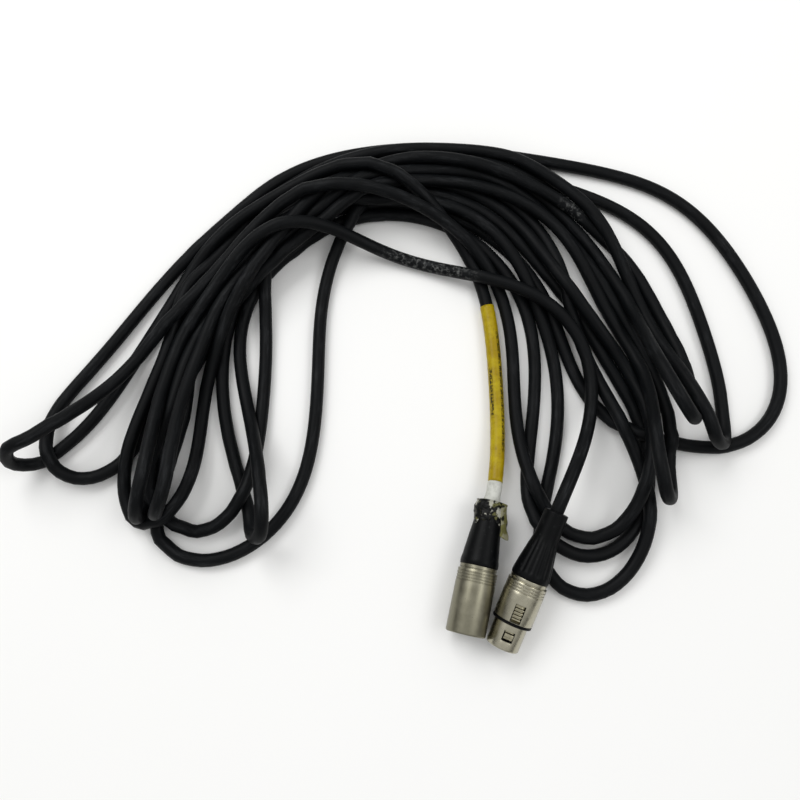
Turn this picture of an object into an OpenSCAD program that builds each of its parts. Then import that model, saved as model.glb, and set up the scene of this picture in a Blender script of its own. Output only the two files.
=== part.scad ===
// Three-pin microphone cable, male plug to female plug, lying in a loose arch.
// Millimetres. Z is up and the cable lies on z = 0. The male plug's mouth faces -Y.
// Each plug is drawn upright, with z running from its cable end to its mouth
// and y pointing up, and is then laid down in its place.

/* [Cable] */
// Outer diameter of the cable jacket
cable_d = 6.5; // [5:0.1:7.4]
// Thickness of the yellow label wrapped on the cable
label_t = 0.5; // [0.2:0.1:1]
// Length of the yellow label
label_l = 93; // [30:1:98]
// Thickness of the white tape
tape_t = 0.35; // [0.2:0.05:1]
// Length of the white tape
tape_l = 7; // [4:1:9]
// Thickness of the torn tape over the male boot's end
torn_t = 1; // [0.4:0.1:2]
// Length of the torn tape
torn_l = 11; // [10:0.5:18]

/* [Plug shells] */
// Outer diameter of both plug shells
shell_d = 19; // [18:0.1:24]
// Wall of the male shell round its mouth
shell_wall = 1.35; // [0.8:0.05:1.8]
// Length of the male shell
male_shell_l = 31.8; // [31:0.1:40]
// Length of the female main tube
female_shell_l = 20.6; // [20.4:0.1:24]
// Thickness of the black shoulder ring
ring_t = 1.4; // [1:0.1:3]
// Length of the female front barrel in front of the ring
barrel_l = 12.2; // [12:0.1:16]
// Wall of the female barrel
barrel_wall = 1.15; // [0.8:0.05:1.4]
// Gap all round between the barrel and a male shell's bore
mate_gap = 0.2; // [0.05:0.05:0.5]

/* [Boots] */
// Length of the male boot behind its shell
male_boot_l = 30; // [28:0.5:40]
// Length of the female boot behind its shell
female_boot_l = 33.5; // [32:0.5:42]
// Diameter of both boots at their cable end
boot_neck_d = 11.6; // [11:0.1:13]
// Length of the boot's spigot inside the shell
spigot_l = 6.5; // [4:0.5:7]
// Number of ribs round the female boot
rib_count = 14; // [8:1:20]

/* [Contacts] */
// Diameter of the circle that the contacts stand on
contact_circle_d = 7.62; // [7.4:0.01:7.8]
// Diameter of a male pin
pin_d = 2.4; // [2:0.05:2.5]
// Bore of a female socket
socket_bore_d = 2.5; // [2.1:0.05:2.6]
// Wall of a female socket
socket_wall = 0.4; // [0.25:0.05:0.5]
// Depth of a female socket's bore
socket_depth = 14; // [10:0.5:16]

/* [Latch] */
// Width of the latch lever and its button
latch_w = 4.2; // [3:0.1:4.6]
// Length of the push button
button_l = 7.8; // [5:0.1:7.8]
// Angle that the latch turns when its button is pushed
latch_travel = 4; // [2:0.5:4]
// Diameter of the latch's hinge pin
hinge_pin_d = 1.5; // [1:0.1:1.8]

/* [Placement] */
// Angle of the female plug's axis away from the male plug's
female_yaw = 10.2; // [10.2:0.1:14]
// Angle that the female plug's cable end is raised
female_tilt = 12; // [10:0.5:14]
// Sideways place of the male plug
male_x = -13; // [-16:0.5:-13]
// Y of the male plug's cable end
male_end_y = 31; // [29:0.5:33]
// Gap between the female barrel's mouth and the male shell
plug_gap = 0.55; // [0.4:0.05:1]
// Y of the female plug's cable end
female_end_y = 32.9; // [32.5:0.1:35]

/* [Hidden] */
$fn = 64;

seat = 0.02;       // gap between two pieces that sit in each other
clear = 0.15;      // gap round the cable where it passes through a boot
cut = 0.01;        // how far a cut runs past a face
cable_r = cable_d / 2;
shell_r = shell_d / 2;
contact_r = contact_circle_d / 2;
pin_r = pin_d / 2;

// Cable run: each point is [x, y, lift], with lift the height of the cable's
// underside above the surface. One line of passes after another, in order.
CABLE_ROUTE = [
    // out of the male plug, over the near bundle and left to the far end
    [-15, 60, 2], [-22, 90, 1], [-33, 127, 1], [-43, 150, 2], [-60, 169, 7], [-86, 182, 14],
    [-118, 185, 14], [-149, 172, 8], [-181, 129, 4], [-201, 76, 0], [-219, 26, 0],
    // upright fold at the far left
    [-235, 3, 0], [-243, -1, 10], [-241, 4, 22], [-231, 12, 24],
    // back over the top of the bundle and down its near side
    [-203, 59, 7], [-175, 108, 10], [-149, 154, 14], [-120, 171, 21], [-82, 174, 14],
    [-45, 158, 8], [-24, 131, 2], [-9, 78, 0], [-4, 63, 4], [4, 47, 7], [14, 34, 7], [22, 28, 4],
    // round the near right loop and up again
    [36, 25, 0], [50, 34, 6], [57, 68, 9], [47, 109, 3], [23, 129, 6],
    [3, 145, 7], [-21, 173, 2], [-45, 192, 2], [-76, 196, 2], [-127, 174, 0], [-158, 130, 0],
    [-163, 89, 0], [-147, 36, 0],
    // upright fold between the left loops
    [-127, 2, 0], [-122, -8, 5], [-116, -8, 17], [-117, 3, 24],
    // low pass to the right
    [-141, 53, 2], [-156, 91, 0], [-151, 126, 2], [-124, 160, 4], [-98, 173, 2], [-59, 168, 0],
    [-23, 147, 0], [-8, 119, 0], [2, 64, 0], [6, 42, 0], [13, 28, 6], [23, 19, 3], [37, 16, 0], [54, 27, 0], [62, 57, 0],
    [49, 94, 0], [11, 138, 0], [-32, 177, 4],
    // left and round the first open loop
    [-64, 189, 3], [-95, 184, 6], [-141, 163, 6], [-153, 137, 5], [-139, 79, 0], [-134, 24, 2],
    [-140, -8, 1], [-152, -21, 2], [-167, -12, 4], [-173, 25, 9],
    // right, to the nearest loop of all
    [-174, 82, 7], [-159, 129, 8], [-140, 157, 11], [-112, 174, 11], [-67, 180, 6], [-29, 163, 7],
    [-2, 129, 6], [13, 72, 0], [14, 44, 0], [13, 28, 0], [17, 12, 0], [29, -1, 0], [46, 1, 0],
    // back to the left
    [59, 21, 1], [61, 52, 6], [45, 80, 5], [14, 125, 1], [-10, 174, 0], [-42, 197, 0],
    [-77, 202, 0], [-101, 188, 3], [-115, 159, 3],
    // round the widest left loop
    [-120, 125, 0], [-110, 70, 0], [-107, 13, 0], [-124, -13, 0], [-152, -27, 0], [-168, -19, 0],
    [-174, 10, 0], [-178, 65, 0], [-168, 118, 0], [-148, 152, 0], [-105, 176, 0], [-61, 178, 0],
    [-25, 160, 0],
    // under the right bundle and round the far right loop
    [8, 118, 0], [32, 88, 0], [63, 81, 0], [100, 87, 0], [119, 109, 0], [115, 142, 0], [86, 187, 0],
    [51, 215, 0], [16, 220, 0], [-41, 219, 0], [-98, 210, 0], [-148, 184, 0],
    // round the outer left loop
    [-183, 140, 0], [-210, 90, 0], [-227, 38, 0], [-231, 6, 3], [-220, -8, 3], [-206, 1, 0],
    [-191, 38, 0], [-184, 95, 0], [-161, 143, 5], [-124, 181, 4], [-72, 204, 5], [-15, 207, 0],
    [38, 195, 0], [62, 170, 0], [85, 122, 0],
    // upright fold at the right
    [92, 100, 0], [93, 87, 4], [86, 84, 15], [78, 93, 21],
    // left along the far edge of the bundle
    [46, 145, 1], [12, 190, 5], [-16, 206, 7], [-73, 213, 5], [-126, 195, 5], [-164, 157, 0],
    [-184, 99, 6], [-188, 41, 6], [-186, -2, 0], [-176, -17, 3],
    // right, up through the bundle
    [-163, -6, 5], [-164, 29, 3], [-165, 79, 12], [-152, 126, 22], [-125, 174, 11], [-99, 195, 12],
    [-56, 204, 13], [-1, 191, 6], [38, 163, 0], [65, 121, 5],
    // upright fold beside the last one
    [71, 106, 8], [73, 94, 12], [69, 89, 24], [60, 97, 28],
    // left, low, to an upright fold
    [36, 146, 1], [-1, 188, 0], [-33, 203, 0], [-88, 205, 0], [-138, 178, 0], [-169, 131, 0],
    [-182, 75, 0], [-177, 25, 6], [-170, 3, 6], [-168, -8, 12], [-164, -8, 24], [-162, 3, 30],
    // right, to an upright fold
    [-171, 60, 17], [-163, 114, 11], [-130, 161, 13], [-103, 187, 11], [-53, 202, 6],
    [-21, 196, 3], [16, 163, 0], [53, 117, 0], [67, 82, 2], [69, 66, 3], [70, 54, 8],
    [65, 51, 20], [59, 61, 26],
    // left over the bundle, to the last upright fold
    [48, 112, 6], [16, 159, 6], [-16, 188, 8], [-51, 196, 9], [-97, 184, 13], [-134, 153, 16],
    [-159, 112, 16], [-175, 58, 5], [-179, 18, 0], [-179, 1, 0], [-177, -11, 6], [-175, -12, 18],
    [-174, -1, 26],
    // over everything and down into the female plug
    [-180, 60, 12], [-164, 122, 17], [-145, 146, 22], [-125, 151, 18], [-100, 148, 7],
    [-57, 146, 6], [-5, 138, 11], [18, 119, 8], [26, 88, 9], [23, 61, 16]
];

// ---- smooth curve and swept tube ----
function between(a, b, ta, tb, t) = (a * (tb - t) + b * (t - ta)) / (tb - ta);
function gap(a, b) = sqrt(norm(b - a));
function curve_point(p, q, r, s, u) =
    let (t1 = gap(p, q), t2 = t1 + gap(q, r), t3 = t2 + gap(r, s), t = t1 + u * (t2 - t1),
        a = between(p, q, 0, t1, t), b = between(q, r, t1, t2, t), c = between(r, s, t2, t3, t),
        d = between(a, b, 0, t2, t), e = between(b, c, t1, t3, t))
    between(d, e, t1, t2, t);
function ring_steps(a, b, step) = max(1, round(norm(b - a) / step));
function smooth_curve(points, step) =
    let (n = len(points), p = concat([2 * points[0] - points[1]], points,
        [2 * points[n - 1] - points[n - 2]]))
    [for (i = [1:n - 1], k = [0:ring_steps(p[i], p[i + 1], step) - 1])
        curve_point(p[i - 1], p[i], p[i + 1], p[i + 2], k / ring_steps(p[i], p[i + 1], step)),
        points[n - 1]];
function unit(v) = v / norm(v);
function tangents(path) =
    let (n = len(path))
    [for (i = [0:n - 1]) unit(path[min(i + 1, n - 1)] - path[max(i - 1, 0)])];
function side_of(v, t) = unit(v - (v * t) * t);
// side vectors carried along the path so that the tube never twists
function sides(tans) =
    [for (i = 0, s = side_of(abs(tans[0].z) > 0.9 ? [1, 0, 0] : [0, 0, 1], tans[0]); i < len(tans);
        i = i + 1, s = side_of(s, tans[min(i, len(tans) - 1)])) s];
function ring(centre, t, s, radius, count) =
    let (u = side_of(s, t), v = cross(t, u))
    [for (k = [0:count - 1]) centre + radius * (cos(360 * k / count) * u + sin(360 * k / count) * v)];
function skin_faces(first, rows, count, out) =
    [for (i = [0:rows - 2], k = [0:count - 1])
        let (a = first + i * count + k, b = first + i * count + (k + 1) % count,
            c = b + count, d = a + count)
        for (f = out ? [[a, c, b], [a, d, c]] : [[a, b, c], [a, c, d]]) f];
function above_floor(path, radius) = [for (p = path) [p.x, p.y, max(p.z, radius)]];

// a solid tube along a path, or a hollow one where inner is over 0
module swept_tube(path, radius, inner = 0, count = 8) {
    t = tangents(path);
    s = sides(t);
    n = len(path);
    outer_points = [for (i = [0:n - 1]) each ring(path[i], t[i], s[i], radius, count)];
    inner_points = inner > 0
        ? [for (i = [0:n - 1]) each ring(path[i], t[i], s[i], inner, count)]
        : [];
    m = n * count;
    caps = inner > 0
        ? [for (k = [0:count - 1])
            let (j = (k + 1) % count, e = m - count)
            for (f = [[k, j, m + j], [k, m + j, m + k], [e + k, m + e + j, e + j],
                [e + k, m + e + k, m + e + j]]) f]
        : [[for (k = [0:count - 1]) k], [for (k = [count - 1:-1:0]) m - count + k]];
    polyhedron(points = concat(outer_points, inner_points),
        faces = concat(skin_faces(0, n, count, true),
            inner > 0 ? skin_faces(m, n, count, false) : [], caps), convexity = 10);
}

// ---- places of the two plugs ----
male_bore_r = shell_r - shell_wall;
barrel_r = male_bore_r - mate_gap;
male_l = male_boot_l + male_shell_l;
female_l = female_boot_l + female_shell_l + ring_t + barrel_l;
// the female plug rests on its shoulder ring or on its mouth, whichever is lower
mouth_edge = 0.6;  // length of the broken edge at the barrel's mouth
shoulder_z = female_l - barrel_l;
female_end_z = max(shell_r * cos(female_tilt) + shoulder_z * sin(female_tilt),
    barrel_r * cos(female_tilt) + (female_l - mouth_edge) * sin(female_tilt));
female_end_x = male_x + shell_r + plug_gap + barrel_r * cos(female_yaw)
    + female_l * sin(female_yaw) * cos(female_tilt);
male_place = [male_x, male_end_y, shell_r];
female_place = [female_end_x, female_end_y, female_end_z];
female_back = [sin(female_yaw) * cos(female_tilt), cos(female_yaw) * cos(female_tilt),
    sin(female_tilt)];

module male_plug() {
    translate(male_place) rotate([90, 0, 0]) children();
}
module female_plug() {
    translate(female_place) rotate([0, 0, -female_yaw]) rotate([female_tilt, 0, 0])
        rotate([90, 0, 0]) children();
}

// ---- cable ----
jacket_in = 24;    // how far the jacket runs inside each boot
straight_out = 9;  // how far the cable runs straight out of each boot
ring_step = 3 * cable_d;
label_start = 11;  // from the male boot's end to the label
tape_start = straight_out - tape_l;  // the tape sits on the straight stretch

function male_axis_point(z) = male_place + [0, -z, 0];
function female_axis_point(z) = female_place - z * female_back;
male_lead = [male_axis_point(jacket_in), male_axis_point(0), male_axis_point(-straight_out)];
female_lead = [female_axis_point(-straight_out), female_axis_point(0),
    female_axis_point(jacket_in)];
route_centres = [for (p = CABLE_ROUTE) [p.x, p.y, p.z + cable_r]];
cable_path = above_floor(smooth_curve(concat(male_lead, route_centres, female_lead),
    ring_step), cable_r);

module cable() {
    color("#1d1d20") swept_tube(cable_path, cable_r);
}

// the label and the white tape follow the cable's first stretch, ring for ring
near_path = [for (i = [0:14]) cable_path[i]];
wrap_sides = 12;
wrap_r = (cable_r + seat) / cos(180 / wrap_sides);
function path_lengths(path) =
    [for (i = 0, s = 0; i < len(path); i = i + 1,
        s = s + (i < len(path) ? norm(path[i] - path[i - 1]) : 0)) s];
near_lengths = path_lengths(near_path);
function at_length(s) =
    let (i = [for (k = [0:len(near_path) - 2]) if (near_lengths[k + 1] > s) k][0])
    between(near_path[i], near_path[i + 1], near_lengths[i], near_lengths[i + 1], s);
function stretch(from, to) =
    let (a = from + jacket_in, b = to + jacket_in)
    concat([at_length(a)],
        [for (i = [0:len(near_path) - 1])
            if (near_lengths[i] > a + cable_d / 4 && near_lengths[i] < b - cable_d / 4) near_path[i]],
        [at_length(b)]);

module label_sleeve() {
    color("#d9c21c")
        swept_tube(stretch(label_start, label_start + label_l), wrap_r + label_t, wrap_r,
            wrap_sides);
}
module white_tape() {
    color("#e9e9e4")
        swept_tube(stretch(tape_start, tape_start + tape_l), wrap_r + tape_t, wrap_r,
            wrap_sides);
}

// ---- parts that both plugs share ----
spigot_r = shell_r - shell_wall - 0.15;
spigot_wall = 1.1;
boot_wide_r = shell_r - 0.4;
collar_l = 4;      // straight collar at the boot's wide end
chuck_z = 5;
chuck_l = 24;
chuck_r = boot_neck_d / 2 - 1;
chuck_past = 2;    // how far the chuck stands past its boot's step
chuck_slot = 0.8;
chuck_flange_r = spigot_r - spigot_wall - 0.2;
core_r = 0.65;
cup_r = 0.75;      // solder cup in the back of each contact
cup_depth = 3;
hole_r = cable_r + clear;
male_cone_start = 3;

// boot: outer profile by its cone's start and end, with the chuck's cavity inside
module boot_body(length, cone_start) {
    neck_r = boot_neck_d / 2;
    wide_r = boot_wide_r;
    inner_r = spigot_r - spigot_wall;
    rotate_extrude()
        polygon([[hole_r, 0], [neck_r - 0.6, 0], [neck_r, 0.6], [neck_r + 0.1, cone_start],
            [wide_r - 0.5, length - collar_l], [wide_r, length - 2.5], [wide_r, length],
            [spigot_r, length], [spigot_r, length + spigot_l], [inner_r, length + spigot_l],
            [inner_r, length - 1], [chuck_r + 0.2, cone_start + 4], [chuck_r + 0.2, chuck_z - 1],
            [hole_r, chuck_z - 2]]);
}
// chuck: slotted sleeve that the boot squeezes on to the jacket
module chuck_body(boot_l) {
    top = boot_l + chuck_past;
    difference() {
        rotate_extrude()
            polygon([[cable_r + seat, chuck_z], [chuck_r - 0.5, chuck_z], [chuck_r, chuck_z + 1],
                [chuck_r, boot_l - 2], [chuck_flange_r, boot_l - 0.6], [chuck_flange_r, top],
                [cable_r + seat, top]]);
        for (a = [0, 90])
            rotate([0, 0, a]) translate([-chuck_r - 1, -chuck_slot / 2, chuck_z - cut])
                cube([2 * chuck_r + 2, chuck_slot, boot_l - 7 - chuck_z]);
    }
}
// the stripped cores run from the jacket's end to the back of each contact
module core_wires(from_z, chuck_end_z, cup_z) {
    lay_share = 0.32;    // how far out the cores lie inside the jacket
    spread_share = 0.55; // and where they leave the chuck
    for (i = [0:2]) {
        p = contact_place(i);
        swept_tube([[lay_share * p.x, lay_share * p.y, from_z],
            [lay_share * p.x, lay_share * p.y, from_z + 2],
            [spread_share * p.x, spread_share * p.y, chuck_end_z],
            [p.x, p.y, cup_z - 0.6], [p.x, p.y, cup_z + 2.4]], core_r);
    }
}
// contacts 1 and 2 stand left and right, and contact 3 below
contact_angles = [180, 0, 270];
function contact_place(i) = contact_r * [cos(contact_angles[i]), sin(contact_angles[i])];
module at_contacts() {
    for (i = [0:2]) translate([contact_place(i).x, contact_place(i).y, 0]) children();
}

// ---- male plug, z from 0 at the cable end to male_l at the mouth ----
male_insert_z = male_boot_l + 10;
male_insert_l = 9.5;
male_pin_back = male_boot_l + 6.5;
male_pin_tip = male_l - 2.2;
pin_base_r = pin_r + 0.3;  // the pin is thicker where the insert holds it
step_w = 0.7;
step_h = 0.35;
catch_z = male_l - 7.5;

// a turned shell: grip end steps at the boot, a plain tube and a broken mouth edge
module shell_tube(from_z, to_z, bore_r) {
    rotate_extrude()
        polygon(concat([[bore_r, from_z], [shell_r - 0.5, from_z], [shell_r - 0.2, from_z + 0.4],
            [shell_r - 0.2, from_z + 2]],
            [for (k = [0:2], q = [[0, 0], [step_h, 0], [step_h, step_w], [0, step_w]])
                [shell_r - q[0], from_z + 2.4 + 1.8 * k + q[1]]],
            [[shell_r, to_z - 0.4], [shell_r - 0.4, to_z], [bore_r + 0.3, to_z], [bore_r, to_z - 0.3]]));
}
module male_shell() {
    color("#b4b09f") male_plug() difference() {
        shell_tube(male_boot_l, male_l, male_bore_r);
        // catch for the female plug's latch, inside the top of the mouth
        translate([-latch_w / 2 - 0.6, 0, catch_z - 1.6])
            cube([latch_w + 1.2, male_bore_r + 0.75, 3.6]);
    }
}
module male_insert() {
    color("#101012") male_plug() difference() {
        translate([0, 0, male_insert_z]) cylinder(r = male_bore_r - seat, h = male_insert_l);
        at_contacts() translate([0, 0, male_insert_z - cut])
            cylinder(r = pin_base_r + seat, h = male_insert_l + 2 * cut);
    }
}
module male_pin(i) {
    color("#c8bf9c") male_plug() translate([contact_place(i).x, contact_place(i).y, 0])
        rotate_extrude()
            polygon([[0, male_pin_back + cup_depth], [cup_r, male_pin_back + cup_depth],
                [cup_r, male_pin_back], [pin_base_r, male_pin_back],
                [pin_base_r, male_insert_z + male_insert_l], [pin_r, male_insert_z + male_insert_l],
                [pin_r, male_pin_tip - 1],
                [pin_r - 0.35, male_pin_tip - 0.25], [pin_r - 0.8, male_pin_tip], [0, male_pin_tip]]);
}
module male_pin_1() { male_pin(0); }
module male_pin_2() { male_pin(1); }
module male_pin_3() { male_pin(2); }

// springy strip that joins contact 1 to the shell
module ground_strip(place, from_z, reach) {
    difference() {
        union() {
            translate([place.x, place.y, from_z]) cylinder(r = 2, h = 0.4);
            translate([-reach, place.y - 1, from_z]) cube([reach + place.x, 2, 0.4]);
        }
        translate([place.x, place.y, from_z - cut]) cylinder(r = 1.75, h = 1);
    }
}
module male_ground_tab() {
    color("#c9c4b4") male_plug()
        ground_strip(contact_place(0), male_insert_z - 1, male_bore_r - 0.25);
}
module male_chuck() {
    color("#2c2c30") male_plug() chuck_body(male_boot_l);
}
module male_boot() {
    color("#141416") male_plug() boot_body(male_boot_l, male_cone_start);
}
module male_wires() {
    color("#b03a2e") male_plug() core_wires(jacket_in + 0.2, male_boot_l + chuck_past, male_pin_back);
}

// ---- female plug, z from 0 at the cable end to female_l at the mouth ----
barrel_bore_r = barrel_r - barrel_wall;
shell_front_z = female_boot_l + female_shell_l;
barrel_back_z = shell_front_z - 7;
insert_r = barrel_bore_r - seat;
insert_back_z = female_boot_l + 7.5;
insert_front_z = female_l - 0.8;
socket_r = socket_bore_d / 2 + socket_wall;
socket_front_z = insert_front_z - 1.2;
socket_back_z = insert_back_z - 2.5;
hinge_y = 6;
hinge_z = insert_back_z + 2.4;
bar_y = 5;
bar_t = 1.1;
spring_w = 1.1;    // room beside the lever's hub for its spring
hub_r = 1.45;
button_z = shell_front_z - 0.7 - button_l;
button_top = shell_r + 0.15;
window_gap = 0.4;
hook_z = female_l - 8.2;
hook_l = 3;
hook_top = shell_r - 0.6;
hinge_pin_r = hinge_pin_d / 2;
hinge_gap = 0.05;
lever_reach = hook_z + hook_l - hinge_z;
channel_y = bar_y - lever_reach * sin(latch_travel) - 0.2;
channel_w = latch_w + 1;

module female_shell() {
    color("#b4b09f") female_plug() difference() {
        rotate_extrude()
            polygon(concat([[male_bore_r, female_boot_l], [shell_r - 0.5, female_boot_l],
                [shell_r - 0.2, female_boot_l + 0.4], [shell_r - 0.2, female_boot_l + 2]],
                [for (k = [0:1], q = [[0, 0], [step_h, 0], [step_h, step_w], [0, step_w]])
                    [shell_r - q[0], female_boot_l + 2.4 + 1.8 * k + q[1]]],
                [[shell_r, shell_front_z], [barrel_r + seat, shell_front_z],
                [barrel_r + seat, barrel_back_z - 0.3], [male_bore_r, barrel_back_z - 0.3]]));
        translate([-latch_w / 2 - window_gap, 0, button_z - window_gap])
            cube([latch_w + 2 * window_gap, shell_r + 1, button_l + 2 * window_gap]);
    }
}
module shoulder_ring() {
    color("#0f0f10") female_plug() difference() {
        translate([0, 0, shell_front_z]) cylinder(r = shell_r, h = ring_t);
        translate([0, 0, shell_front_z - cut]) cylinder(r = barrel_r + seat, h = ring_t + 2 * cut);
    }
}
module female_barrel() {
    color("#b4b09f") female_plug() difference() {
        rotate_extrude()
            polygon([[barrel_bore_r, barrel_back_z], [barrel_r, barrel_back_z],
                [barrel_r, female_l - mouth_edge], [barrel_r - 0.5, female_l],
                [barrel_bore_r, female_l]]);
        // window for the hook, then the button's slot through the hidden part
        translate([-latch_w / 2 - 0.5, 0, hook_z - 0.9])
            cube([latch_w + 1, shell_r, hook_l + 1.9]);
        translate([-latch_w / 2 - window_gap, 0, barrel_back_z - 1])
            cube([latch_w + 2 * window_gap, shell_r,
                button_z + button_l + window_gap - barrel_back_z + 1]);
    }
}
module female_insert() {
    color("#101012") female_plug() difference() {
        union() {
            translate([0, 0, insert_back_z])
                cylinder(r = insert_r, h = insert_front_z - insert_back_z);
            translate([0, 0, insert_back_z])
                cylinder(r = male_bore_r - seat, h = barrel_back_z - 0.3 - seat - insert_back_z);
        }
        at_contacts() {
            translate([0, 0, insert_back_z - cut])
                cylinder(r = socket_r + seat, h = socket_front_z + seat + cut - insert_back_z);
            translate([0, 0, socket_front_z]) cylinder(r = socket_bore_d / 2 + 0.35, h = 3);
        }
        // channel for the latch lever, and its hinge pin's hole
        translate([-channel_w / 2, channel_y, insert_back_z - 1])
            cube([channel_w, shell_r, hook_z + hook_l + 3 - insert_back_z]);
        translate([-shell_r, hinge_y, hinge_z]) rotate([0, 90, 0])
            cylinder(r = hinge_pin_r + seat, h = 2 * shell_r);
    }
}
module socket(i) {
    color("#c8bf9c") female_plug() translate([contact_place(i).x, contact_place(i).y, 0])
        rotate_extrude()
            polygon([[0, socket_back_z + cup_depth], [cup_r, socket_back_z + cup_depth],
                [cup_r, socket_back_z], [socket_r, socket_back_z], [socket_r, socket_front_z],
                [socket_bore_d / 2, socket_front_z],
                [socket_bore_d / 2, socket_front_z - socket_depth],
                [0, socket_front_z - socket_depth - 0.5]]);
}
module socket_1() { socket(0); }
module socket_2() { socket(1); }
module socket_3() { socket(2); }

// lever with its hub, a ribbed button block and the hook; it turns about the hinge pin
module latch() {
    bar_top = bar_y + bar_t;
    color("#c4c0b0") female_plug() difference() {
        union() {
            translate([-latch_w / 2 + spring_w, hinge_y, hinge_z]) rotate([0, 90, 0])
                cylinder(r = hub_r, h = latch_w - spring_w);
            translate([-latch_w / 2 + spring_w, bar_y, hinge_z])
                cube([latch_w - spring_w, bar_t, 3]);
            translate([-latch_w / 2, bar_y, hinge_z + 2.4])
                cube([latch_w, bar_t, hook_z + hook_l - hinge_z - 2.4]);
            translate([-latch_w / 2, bar_y + 0.1, button_z])
                cube([latch_w, button_top - bar_y - 0.1, button_l]);
            // the hook: a ramp at the front and a square back
            translate([-latch_w / 2, 0, 0]) rotate([90, 0, 90]) linear_extrude(latch_w)
                polygon([[bar_y + 0.2, hook_z], [hook_top, hook_z], [hook_top, hook_z + 0.8],
                    [bar_top + 0.4, hook_z + hook_l], [bar_y + 0.2, hook_z + hook_l]]);
        }
        translate([-latch_w, hinge_y, hinge_z]) rotate([0, 90, 0])
            cylinder(r = hinge_pin_r + hinge_gap, h = 2 * latch_w);
        // grip grooves across the button
        for (k = [0:4])
            translate([-latch_w, button_top - 0.7, button_z + 1.1 + 1.3 * k])
                cube([2 * latch_w, 1.2, 0.6]);
    }
}
module latch_pin() {
    length = 2 * sqrt(pow(male_bore_r - 0.15, 2) - pow(hinge_y + hinge_pin_r, 2));
    color("#9a978c") female_plug() translate([-length / 2, hinge_y, hinge_z])
        rotate([0, 90, 0]) cylinder(r = hinge_pin_r, h = length);
}
// torsion spring: its coil sits on the hinge pin beside the lever's hub
module latch_spring() {
    wire = 0.45;
    color("#8d8d90") female_plug() {
        difference() {
            union() {
                translate([-latch_w / 2 - 0.15, hinge_y, hinge_z]) rotate([0, 90, 0])
                    cylinder(r = hinge_pin_r + seat + wire, h = spring_w - 0.15);
                translate([-latch_w / 2 - 0.15, hinge_y - hinge_pin_r - wire, hinge_z])
                    cube([wire, wire, 2.2]);
            }
            translate([-latch_w, hinge_y, hinge_z]) rotate([0, 90, 0])
                cylinder(r = hinge_pin_r + seat, h = 2 * latch_w);
        }
    }
}
module female_ground_tab() {
    color("#c9c4b4") female_plug()
        ground_strip(contact_place(0), insert_back_z - 0.9, male_bore_r - 0.25);
}
module female_chuck() {
    color("#2c2c30") female_plug() chuck_body(female_boot_l);
}
module female_boot() {
    cone_start = 13;
    rib_step = 360 / rib_count;
    neck_r = boot_neck_d / 2 + 0.1;
    wide_r = shell_r - 0.9;
    slope = atan((wide_r - neck_r) / (female_boot_l - 4 - cone_start));
    color("#141416") female_plug() difference() {
        boot_body(female_boot_l, cone_start);
        for (i = [0:rib_count - 1])
            rotate([0, 0, rib_step * (i + 0.5)]) translate([neck_r + 0.5, 0, cone_start])
                rotate([0, slope, 0])
                    cylinder(r = 0.75, h = female_boot_l - cone_start - 3, $fn = 24);
    }
}
module female_wires() {
    color("#b03a2e") female_plug() core_wires(jacket_in + 0.2, female_boot_l + chuck_past, socket_back_z);
}

// ---- torn tape: a wad over the male boot's end, with a flap hanging at its right ----
module torn_tape() {
    past_boot = 1.8;
    on_boot = torn_l - past_boot;
    neck_r = boot_neck_d / 2 + 0.1 + seat;
    cone_share = (on_boot - male_cone_start) / (male_boot_l - collar_l - male_cone_start);
    upper_r = neck_r + cone_share * (boot_wide_r - 0.5 - neck_r) + 2 * seat;
    wall_r = neck_r + torn_t;
    on_cable_r = cable_r + 0.3;
    flap_w = 6;
    flap_turn = 20;
    color("#3a3a30") male_plug() {
        rotate_extrude()
            polygon([[neck_r, male_cone_start], [neck_r, -0.3], [on_cable_r, -0.5],
                [on_cable_r, -past_boot], [wall_r - 0.8, -past_boot], [wall_r, -1],
                [wall_r + 0.2, on_boot * 0.5], [upper_r + torn_t, on_boot], [upper_r, on_boot]]);
        rotate([90, 0, flap_turn]) translate([0, 0, -flap_w / 2]) linear_extrude(flap_w)
            polygon([[wall_r - 0.2, -0.6], [wall_r + 1, -0.2], [wall_r + 3.4, 13.5],
                [wall_r + 3.2, 15], [wall_r + 2.2, 15], [wall_r + 1.6, 11],
                [wall_r + 0.7, 8], [wall_r - 0.2, 4]]);
    }
}

cable();
label_sleeve();
white_tape();
torn_tape();
male_shell();
male_insert();
male_pin_1();
male_pin_2();
male_pin_3();
male_ground_tab();
male_chuck();
male_boot();
male_wires();
female_shell();
shoulder_ring();
female_barrel();
female_insert();
socket_1();
socket_2();
socket_3();
latch();
latch_pin();
latch_spring();
female_ground_tab();
female_chuck();
female_boot();
female_wires();
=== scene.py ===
import math
import bpy
import bmesh
import numpy as np
from mathutils import Matrix, Vector
from mathutils.kdtree import KDTree


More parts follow.
